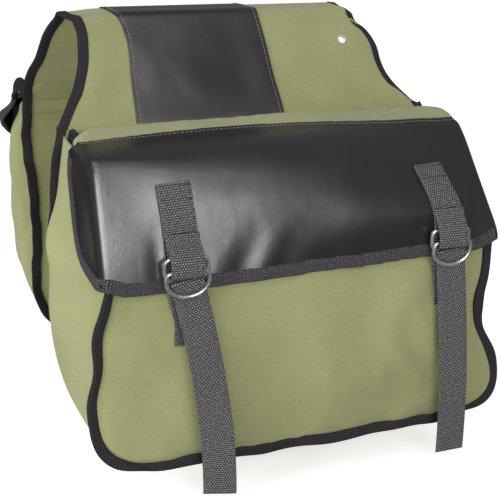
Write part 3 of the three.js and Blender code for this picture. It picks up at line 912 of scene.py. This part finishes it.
def face_columns(bag, xs):
    """Flap face from the leather's top edge to its lower edge, at each x: rows by columns by (x, out, z)."""
    lines = skin_lines(bag, xs, -0.3)
    start, stop = leather_start(bag, xs), edge_height(bag, xs) + 1.2
    grid = np.zeros((FLAP_ROWS, len(xs), 3))
    for c, line in enumerate(lines):
        first = np.searchsorted(line[:, 0], start[c])
        fall = np.maximum.accumulate(-line[:, 1])
        last = np.searchsorted(fall, -stop[c])
        part = resample(line[first:last + 1], FLAP_ROWS)
        grid[:, c, 0] = xs[c]
        grid[:, c, 1:] = part
    grid[..., 1] += flap_folds(bag, grid[..., 0], grid[..., 2])
    return grid


def wing_edges(bag, face):
    """Free edge of each wing for each row of the face: {side: rows by (out, z)}."""
    edges = {}
    for side, column in ((1, -1), (-1, 0)):
        corner = face[:, column, 1:]
        line = smooth_line([tuple(corner[0] + (0, -0.5)), *bag.wing, tuple(corner[-1] - (1.2, 0))], 3)
        edges[side] = resample(line, FLAP_ROWS)
    return edges


def wing_flare(bag, point):
    """The empty rear bag's wings stand out below the shoulder."""
    return np.zeros(len(point)) if bag.packed else 6.5 * np.exp(-((point[:, 1] + 104) / 13) ** 2)


def wing_wave(bag, point):
    """How far a wing's free edge stands out from the wing."""
    return 1.0 * ripple(point[:, 0], point[:, 1], 60, 88) + wing_flare(bag, point)


def wing_columns(bag, face, edge, side, count=12):
    """Columns that carry the face round a corner and down to the wing's free edge."""
    corner = face[:, 1:]
    reach = edge - corner
    length = np.linalg.norm(reach, axis=1, keepdims=True)
    direction = reach / np.maximum(length, 1e-6)
    radius = np.minimum(CORNER, 0.8 * length)
    columns = []
    for angle in np.linspace(0, math.pi / 2, 6)[1:]:
        flare = wing_flare(bag, corner) * math.sin(angle)
        x = side * (bag.wing_x - CORNER + radius[:, 0] * math.sin(angle) + flare)
        columns.append(np.column_stack([x, corner + direction * radius * (1 - math.cos(angle))]))
    for share in np.linspace(0, 1, count)[1:]:
        point = corner + direction * (radius + (length - radius) * share)
        flare = wing_flare(bag, point) + wing_wave(bag, point) * share
        x = side * (bag.wing_x - CORNER + radius[:, 0] + flare)
        columns.append(np.column_stack([x, point]))
    return np.stack(columns, 1)


def flap_leather(bag):
    """The flap's face with its two wings. Returns the grids of the face and of each wing."""
    xs = np.linspace(-(bag.wing_x - CORNER), bag.wing_x - CORNER, 110)
    face = face_columns(bag, xs)
    edges = wing_edges(bag, face)
    left = wing_columns(bag, face[:, -1], edges[1], 1)
    right = wing_columns(bag, face[:, 0], edges[-1], -1)
    grid = drawn_in(bag, np.concatenate([right[:, ::-1], face, left], 1))
    skin = sheet(bag.body("lid_leather"), bag.world(grid)[:, ::-1], LEATHER, COATED_LEATHER)
    dress(skin, bag.body("flap_leather"), bag.body("flap"))

    row = drawn_in(bag, face)[3]
    normal = unit(np.cross(np.gradient(face, axis=1)[3], np.gradient(face, axis=0)[3]))
    normal = np.where(normal[:, 2:] < 0, -normal, normal)
    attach(stitches(bag.body("lid_stitching"), [(bag.world(row), bag.world(normal))]), bag.body("flap"))
    return drawn_in(bag, face), {1: drawn_in(bag, left), -1: drawn_in(bag, right)}


def facing_out(vectors):
    return np.where(vectors[:, 1:2] < 0, -vectors, vectors)


def flap_tape(bag, face, wings):
    """Tape folded over the flap's free edge: down one wing, along the front and up the other wing."""
    def wing_run(side):
        run = wings[side][4:, -1] - (side * LEATHER / 2, 0, 0)
        along = tangents(run[:, 1:])
        inward = np.column_stack([np.zeros(len(run)), -along[:, 1], along[:, 0]])
        face_way = np.tile([side * 1.0, 0.0, 0.0], (len(run), 1))
        return run, inward, face_way

    front = face[-1] - (0, LEATHER / 2, 0)
    climb = unit(face[-8] - face[-1])
    ahead = facing_out(unit(np.cross(climb, [-1.0, 0.0, 0.0])))
    left, right = wing_run(1), wing_run(-1)
    runs = [np.vstack(part) for part in zip(left, [a[::-1] for a in (front, climb, ahead)],
                                            [a[::-1] for a in right])]
    count = 460
    joined = resample(np.hstack([runs[0], runs[1] * 1e-4, runs[2] * 1e-4]), count)
    path = averaged(joined[:, :3], 3)
    inward, out = (averaged(unit(joined[:, k:k + 3]), 13) for k in (3, 6))
    along = tangents(path)
    inward = square_to(along, inward)
    out = unit(np.cross(inward, along)) * np.sign(np.sum(np.cross(inward, along) * out, 1))[:, None]
    path = path - inward * 1.2
    path = path + inward * (0.35 * ripple(np.linspace(0, 700, count), 5.0, 37, 91))[:, None]
    strip = bag.strip(path, inward, out, rounded(FLAP_TAPE, TAPE, 1.3, 0.0))
    tape = sweep(bag.body("lid_tape"), [strip], FLAP_BINDING)
    dress(tape, bag.body("flap_binding"), bag.body("flap"))


# ---- Straps and rings ----

def strap_sweep(bag, path, twist=None):
    """Webbing along a path of (x, out, z), its width across x and turned by twist about z."""
    along = tangents(path)
    turn = np.zeros(len(path)) if twist is None else twist
    wide = np.stack([np.cos(turn), np.sin(turn), np.zeros(len(path))], 1)
    wide = square_to(along, wide)
    thick = unit(np.cross(wide, along))
    return bag.strip(path, wide, thick, rounded(WEBBING_WIDTH, WEBBING, 0.6))


def flap_strap(bag, side, x_top, x_ring):
    """Two layers of webbing sewn to the leather, tilted part of the way with it."""
    sign = 1 if side == "left" else -1
    top, low = (-98.0 if sign > 0 else -104.0), STITCH_Z - 3.0
    count = 40
    down = np.linspace(0, 1, count)
    z = np.linspace(top, low, count)
    x = sign * (x_top + (x_ring - x_top) * down)
    out = out_at(bag, x, z, -0.3) + flap_folds(bag, x, z)
    path = resample(np.stack([x, out, z], 1), count)
    along = tangents(path)
    lift = facing_out(unit(np.cross(along, [-1.0, 0.0, 0.0])))
    half = WEBBING_WIDTH / 2
    rise = out_at(bag, path[:, 0] + half, path[:, 2], -0.3) - out_at(bag, path[:, 0] - half, path[:, 2], -0.3)
    twist = STRAP_FOLLOW * np.arctan(rise / WEBBING_WIDTH) * (1 - ease(down, 0.55, 1.0))
    layers = [strap_sweep(bag, path + lift * height, twist) for height in (STRAP_LIFT, STRAP_LIFT + WEBBING)]
    strap = sweep(bag.body(f"{side}_lid_strap"), layers, STRAP_WEBBING)
    dress(strap, bag.body(f"{side}_flap_strap"), bag.body("flap"))

    strap_stitching(bag, side, path + lift * (STRAP_LIFT + WEBBING * 1.5), lift[count // 2], twist)
    return path, lift


def strap_stitching(bag, side, surface, up, twist):
    """Stitches across a flap strap at its top and near its end, with a sewn box below the top."""
    wide = np.stack([np.cos(twist), np.sin(twist), np.zeros(len(twist))], 1)
    edge = WEBBING_WIDTH / 2 - STITCH_INSET
    rows = [surface[k] + np.outer(np.linspace(-edge, edge, 12), wide[k]) for k in (2, 12, 37)]
    rows += [surface[2:13] + wide[2:13] * s for s in (-edge, edge)]
    runs = [(bag.world(row), bag.world(np.tile(up, (len(row), 1)))) for row in rows]
    thread = stitches(bag.body(f"{side}_strap_stitching"), runs, 2.6, 1.9, 0.3)
    thread.data.materials[0] = DARK_THREAD
    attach(thread, bag.body("flap"))


def ring_loop(bag, side, x, strap_path, strap_lift):
    """The webbing's free end, folded round the bars of both rings and back up to the last stitches."""
    end = strap_path[-1] + strap_lift[-1] * (STRAP_LIFT + WEBBING)
    root_out, face = end[1], bag.face
    back, front = face + 2.4, face + 10.8
    low = FRONT_BAR_Z - 4.2
    line = [(root_out + 1.7, STITCH_Z + 1), (root_out + 2.0, STITCH_Z - 4), (face + 7.6, BACK_BAR_Z + 3),
            (front, FRONT_BAR_Z + 4), (front, low + 1.5), (front - 3, low), (back + 3, low),
            (back, low + 1.5), (back, BACK_BAR_Z), (root_out + 0.5, STITCH_Z - 5), (root_out + 0.1, STITCH_Z)]
    line = soft(line, 70)
    path = np.column_stack([np.full(70, x), line])
    loop = sweep(bag.body(f"{side}_loop_webbing"), [strap_sweep(bag, path)], STRAP_WEBBING)
    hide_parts(bag.body(f"{side}_ring_loop"))
    start, end = ((0, 0, (STITCH_Z + above) / 1000) for above in (0.5, -5.5))
    bag.body("flap")
    bag.body(f"{side}_buckle")
    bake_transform(loop)


def ring(bag, side, which, x, out, bar_z, body):
    """A D-ring of bent wire hanging from its bar, with a butt joint in the middle of the bar."""
    half, drop, bend = (RING_WIDTH - RING_WIRE) / 2, RING_HEIGHT - RING_WIRE, 3.5
    leg = 9.0 if which == "back" else 5.5
    bar = [(0.15, 0.0), (half - bend, 0.0)]
    corner = [(half - bend + bend * math.sin(a), -bend + bend * math.cos(a)) for a in np.linspace(0, 1.57, 7)]
    arc = [(half * math.cos(a), -leg - (drop - leg) * math.sin(a)) for a in np.linspace(0, math.pi / 2, 22)]
    side_line = bar + corner[1:] + arc
    line = np.array(side_line + [(-a, b) for a, b in side_line[-2::-1]])
    line = resample(line, 120)
    path = np.column_stack([x + line[:, 0], np.full(120, out), bar_z + line[:, 1]])
    wide = np.tile([0.0, 1.0, 0.0], (120, 1))
    thick = unit(np.cross(tangents(path), wide))
    strip = bag.strip(path, wide, thick, circle(RING_WIRE / 2, 16))
    wire = sweep(bag.body(f"{side}_{which}_wire"), [strip], NICKEL)
    dress(wire, bag.body(f"{side}_{which}_ring"), bag.body(f"{side}_{body}"))


def lower_strap(bag, side, x, lean):
    """Sewn to the front panel, up behind the rings, over the back ring and down as a hanging tail."""
    face = bag.face
    arc_z = BACK_BAR_Z - (RING_HEIGHT - RING_WIRE)
    panel = float(out_at(bag, x, ANCHOR_Z, 5.0)) + 1.3
    rise = [(panel, ANCHOR_Z), (panel + 0.3, ANCHOR_Z + 18),
            (face + 2.2, arc_z - 12), (face + 2.4, arc_z - 3)]
    fold = [(face + 2.5, arc_z + 2.6), (face + 6.9, arc_z + 2.8), (face + 6.6, arc_z - 3)]
    tail = [(face + 5.7, arc_z - 9), (face + 5.6, arc_z - 18), (face + 6.5, -230), (face + 7.0, -280),
            (face + 5.0, TAIL_Z)]
    line = soft(rise + fold + tail, 170)
    path = np.column_stack([np.full(170, x), line])
    path[:, 0] -= 5.5 * ease(-path[:, 2], 168, 200)
    top = int(np.argmax(path[:, 2]))
    path[top:, 0] = x
    below = np.where(np.arange(170) > top, (path[top, 2] - path[:, 2]) / (path[top, 2] - TAIL_Z), 0)
    path[:, 0] += lean * (1 - (1 - below) ** 1.7)
    twist = -0.32 * ease(below, 0.3, 1.0) * (1 if side == "left" else 0)
    strap = sweep(bag.body(f"{side}_tail_webbing"), [strap_sweep(bag, path, twist)], STRAP_WEBBING)
    dress(strap, bag.body(f"{side}_lower_strap"), bag.body("bag"))


def buckles(bag):
    """Both closures of a bag: flap strap, ring loop, two rings and lower strap."""
    for side, (x_top, x_ring, lean) in bag.straps.items():
        sign = 1 if side == "left" else -1
        x = sign * x_ring
        path, lift = flap_strap(bag, side, x_top, x_ring)
        ring_loop(bag, side, x, path, lift)
        ring(bag, side, "back", x, bag.face + 4.9, BACK_BAR_Z, "buckle")
        ring(bag, side, "front", x, bag.face + 8.3, FRONT_BAR_Z, "ring")
        lower_strap(bag, side, x, lean)


# ---- Scene ----

FLOOR_Z = -0.342
CAMERA_PLACE = (-0.35543, -0.93244, 0.10151)
CAMERA_TURN = (22.606, -17.426, 0.811)          # yaw from +y towards +x, pitch and roll in degrees
CAMERA_LENS = 83.78


def build_camera():
    """Looks down on the front bag from its left."""
    yaw, pitch, roll = (math.radians(angle) for angle in CAMERA_TURN)
    ahead = Vector((math.sin(yaw) * math.cos(pitch), math.cos(yaw) * math.cos(pitch), math.sin(pitch)))
    level = Vector((math.cos(yaw), -math.sin(yaw), 0))
    up = level.cross(ahead)
    right = level * math.cos(roll) + up * math.sin(roll)
    up = up * math.cos(roll) - level * math.sin(roll)
    camera = bpy.data.cameras.new("camera")
    camera.lens, camera.sensor_width = CAMERA_LENS, 36.0
    obj = bpy.data.objects.new("camera", camera)
    matrix = Matrix((right, up, -ahead)).transposed().to_4x4()
    matrix.translation = CAMERA_PLACE
    obj.matrix_world = matrix
    bpy.context.scene.collection.objects.link(obj)
    bpy.context.scene.camera = obj


def area_light(name, place, target, size, power, unseen_by):
    """An area light aimed at target. Rays of the unseen_by kind, glossy or diffuse, don't meet it."""
    light = bpy.data.lights.new(name, "AREA")
    light.shape, light.size, light.size_y, light.energy = "RECTANGLE", size[0], size[1], power
    obj = bpy.data.objects.new(name, light)
    obj.location = place
    obj.rotation_euler = (Vector(target) - Vector(place)).to_track_quat("-Z", "Y").to_euler()
    setattr(obj, f"visible_{unseen_by}", False)
    bpy.context.scene.collection.objects.link(obj)


def build_lights():
    """Two soft lights that shade the cloth, and three that show only as sheen on the leather."""
    area_light("key", (0.1, -1.95, 0.6), (-0.05, -0.2, -0.14), (0.9, 0.7), 8.5, "glossy")
    area_light("shine", (-0.16, -1.95, 0.45), (-0.15, -0.2, -0.14), (0.7, 0.75), 28.0, "diffuse")
    area_light("upper_shine", (-0.05, -0.5, 1.0), (-0.1, -0.07, -0.05), (0.3, 0.3), 1.7, "diffuse")
    area_light("middle_shine", (0.06, -1.0, 0.8), (-0.13, -0.19, -0.1), (0.25, 0.45), 2.4, "diffuse")
    area_light("side_fill", (-1.55, -0.6, 0.3), (-0.1, 0.0, -0.1), (0.9, 0.9), 16.0, "glossy")


def build_sky():
    """White where the camera sees it, a soft grey light on the bag and dim in reflections."""
    world = bpy.data.worlds.new("studio")
    bpy.context.scene.world = world
    world.use_nodes = True
    tree = world.node_tree
    tree.nodes.clear()
    seen, sky, dark = (shader(tree, "Background", {"Color": (1, 1, 1, 1), "Strength": strength}).outputs[0]
                       for strength in (1.0, 0.5, 0.22))
    ray = shader(tree, "LightPath").outputs
    unseen = shader(tree, "MixShader", {0: ray["Is Glossy Ray"], 1: sky, 2: dark}).outputs[0]
    both = shader(tree, "MixShader", {0: ray["Is Camera Ray"], 1: unseen, 2: seen}).outputs[0]
    shader(tree, "OutputWorld", {"Surface": both})


def build_floor():
    """Plain pale floor that glows a little to the camera and is dark in reflections."""
    mesh = bpy.data.meshes.new("floor")
    work = bmesh.new()
    bmesh.ops.create_grid(work, x_segments=4, y_segments=4, size=14.0)
    work.to_mesh(mesh)
    work.free()
    floor = bpy.data.objects.new("floor", mesh)
    floor.location = (0, 0, FLOOR_Z)
    bpy.context.scene.collection.objects.link(floor)
    material, tree, surface, _ = start_material("pale_floor")
    ray = shader(tree, "LightPath").outputs
    colour = mix(tree, ray["Is Glossy Ray"], (0.86, 0.86, 0.86, 1), (0.1, 0.1, 0.1, 1))
    glow = span(tree, ray["Is Camera Ray"], 0, 1, 0.0, 0.62)
    feed(tree, surface, {"Base Color": colour, "Roughness": 0.9, "Specular IOR Level": 0.1,
                         "Emission Color": (1, 1, 1, 1), "Emission Strength": glow})
    mesh.materials.append(material)


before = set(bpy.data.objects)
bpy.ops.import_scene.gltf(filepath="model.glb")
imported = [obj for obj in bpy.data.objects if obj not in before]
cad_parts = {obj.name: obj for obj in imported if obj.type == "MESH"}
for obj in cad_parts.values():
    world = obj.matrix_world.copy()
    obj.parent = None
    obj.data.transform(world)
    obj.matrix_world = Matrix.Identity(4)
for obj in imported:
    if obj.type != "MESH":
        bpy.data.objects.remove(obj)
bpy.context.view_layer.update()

CANVAS_CLOTH = canvas_material()
COATED_LEATHER = leather_material()
FLAP_BINDING = woven_material("flap_tape", rgb(112, 110, 114), rgb(26, 26, 29), 2.2, 1.4, 0.3, 0.8)
SEAM_BINDING = woven_material("seam_tape", rgb(66, 64, 68), rgb(24, 23, 26), 2.4, 1.6, 0.25, 0.85)
STRAP_WEBBING = woven_material("webbing", rgb(158, 157, 160), rgb(22, 22, 25), 2.1, 1.7, 0.4, 0.75)
THREAD = thread_material()
DARK_THREAD = woven_material("dark_thread", rgb(70, 69, 71), rgb(26, 26, 28), 0.6, 0.4, 0.05, 0.7)
EYELET_THREAD = woven_material("eyelet_thread", rgb(245, 244, 238), rgb(205, 203, 196), 0.7, 0.5, 0.05, 0.7)
NICKEL = nickel_material()

FRONT = prepare(Bag(
    name="front", turn=-1, packed=True,
    stations=[
        (-162, [(84.5, -77.5), (90, -75.5), (99, -73), (112, -72), (131, -76), (143, -86), (162, -109),
                (181, -130), (196, -147), (201, -158), (202.5, -172), (202, -215), (203, -260),
                (201, -306), (201, -320)]),
        (-108, [(84.5, -77.5), (90, -75.5), (98, -72.5), (110, -70.5), (131, -76), (148, -84), (166, -98),
                (182, -113), (195, -126), (201, -139), (202.5, -170), (204, -215), (204, -260),
                (202, -306), (202, -320)]),
        (0, [(84.5, -77.5), (90, -75.2), (97, -71.5), (110, -69), (130, -74), (158, -78), (178, -89),
             (191, -107), (199, -130), (202, -150), (203, -175), (206, -215), (205.5, -262), (202, -306),
             (202, -320)]),
        (105, [(84.5, -77.5), (90, -75.5), (98, -72.5), (110, -70.5), (131, -74.5), (160, -77.5),
               (176, -85), (185, -103), (192.5, -128), (199.5, -152), (204.5, -172), (204.5, -215),
               (204, -260), (202, -306), (202, -320)]),
        (162, [(84.5, -77.5), (90, -75.5), (99, -73), (112, -72), (132, -75.5), (160, -77), (174, -80),
               (181.5, -98), (190, -123), (197.5, -148), (203, -171), (202, -215), (203, -260),
               (201, -306), (201, -320)]),
    ],
    leather_top=[(-162, 129.5), (-107, 129.5), (0, 126), (62, 126), (125, 131), (162, 135.5)],
    flap_edge=(-166, -169, -172),
    wing=[(130, -84), (122, -95), (121.5, -104), (128.5, -119), (136.5, -136), (143, -150), (153, -159.5),
          (168, -163.5), (186, -165)],
    left_seam=[(150, -93), (150, -160), (154, -182), (160.5, -203), (161.5, -232), (166.5, -262),
               (161, -288), (144, -303), (118, -306.5), (100, -306.8)],
    right_seam=[(150, -93), (151, -168), (151.5, -182), (150.5, -194), (146, -206), (144.5, -219),
                (150, -236), (163, -260), (169.5, -282), (163, -299), (136, -306.5), (110, -306.8)],
    face=202.0,
    back_left=[(152.5, -75.5), (156, -87), (158.5, -108), (160.5, -130), (162.5, -160), (163, -202),
               (162, -235), (157, -268), (146, -292), (128, -305), (100, -306.5)],
    back_right=[(147, -74), (151, -87), (156, -106), (160.5, -130), (163, -170), (163.5, -202),
                (162, -235), (157, -268), (146, -292), (128, -305), (100, -306.5)],
    curl=[(148.0, 97.0, -78.5), (150.0, 93.0, -74.5), (151.0, 88.5, -76.5)],
    narrow=1.8,
    wing_x=162.0,
    swell=11.0,
    straps={"left": (103.0, 101.0, -26.0), "right": (107.0, 112.0, -12.0)},
))

REAR = prepare(Bag(
    name="rear", turn=1, packed=False,
    stations=[
        (-162, [(84.5, -77.5), (90, -75.5), (100, -73), (114, -79), (124, -93), (133, -112), (139, -135),
                (142, -160), (142, -215), (141, -260), (139, -306), (139, -320)]),
        (0, [(84.5, -77.5), (90, -75), (99, -71.5), (113, -75), (127, -84), (136, -102), (141, -126),
             (142.5, -150), (145, -205), (145.5, -262), (140, -306), (140, -320)]),
        (162, [(84.5, -77.5), (90, -75.5), (100, -73), (114, -78), (125, -91), (134, -111), (139, -135),
               (142, -160), (141, -215), (141, -260), (139, -306), (139, -320)]),
    ],
    leather_top=[(-162, 110), (0, 108), (162, 110)],
    flap_edge=(-167, -169, -167),
    wing=[(108, -83), (106, -91), (107, -100), (112, -107), (120, -112), (129, -118), (137, -128)],
    left_seam=[(145, -93), (144, -140), (145, -190), (146, -235), (147, -264), (142, -290), (126, -303),
               (104, -306.5), (90, -306.8)],
    right_seam=[(147, -93), (147, -140), (146, -190), (144, -235), (138, -262), (127, -282), (112, -297),
                (94, -304.5), (80, -306)],
    face=142.0,
    back_left=[(144, -74), (144, -84), (145, -110), (144, -141), (142.5, -180), (142.5, -221),
               (142, -255), (135, -280), (120, -297), (100, -305), (80, -306)],
    back_right=[(144.5, -74), (144.5, -84), (146, -110), (146.5, -125), (145, -142), (142.5, -165),
                (142, -190), (142, -222), (143.5, -245), (143.5, -262), (136, -283), (121, -297),
                (100, -305), (80, -306)],
    curl=[(-153.0, 103.0, -82.0), (-155.0, 100.0, -72.0), (-152.0, 96.0, -64.0), (-148.0, 91.0, -66.0)],
    narrow=0.0,
    wing_x=153.0,
    swell=12.0,
    straps={"left": (104.0, 105.0, 4.0), "right": (106.0, 105.0, 22.0)},
))

yoke_canvas()
yoke_band()
yoke_bindings()
for bag in (FRONT, REAR):
    back_panel(bag)
    gusset(bag)
    front_panel(bag)
    body_bindings(bag)
    mouth_tape(bag)
    flap_cloth(bag)
    face, wings = flap_leather(bag)
    flap_tape(bag, face, wings)
    buckles(bag)

build_camera()
build_lights()
build_sky()
build_floor()
bpy.context.scene.view_settings.view_transform = "Standard"
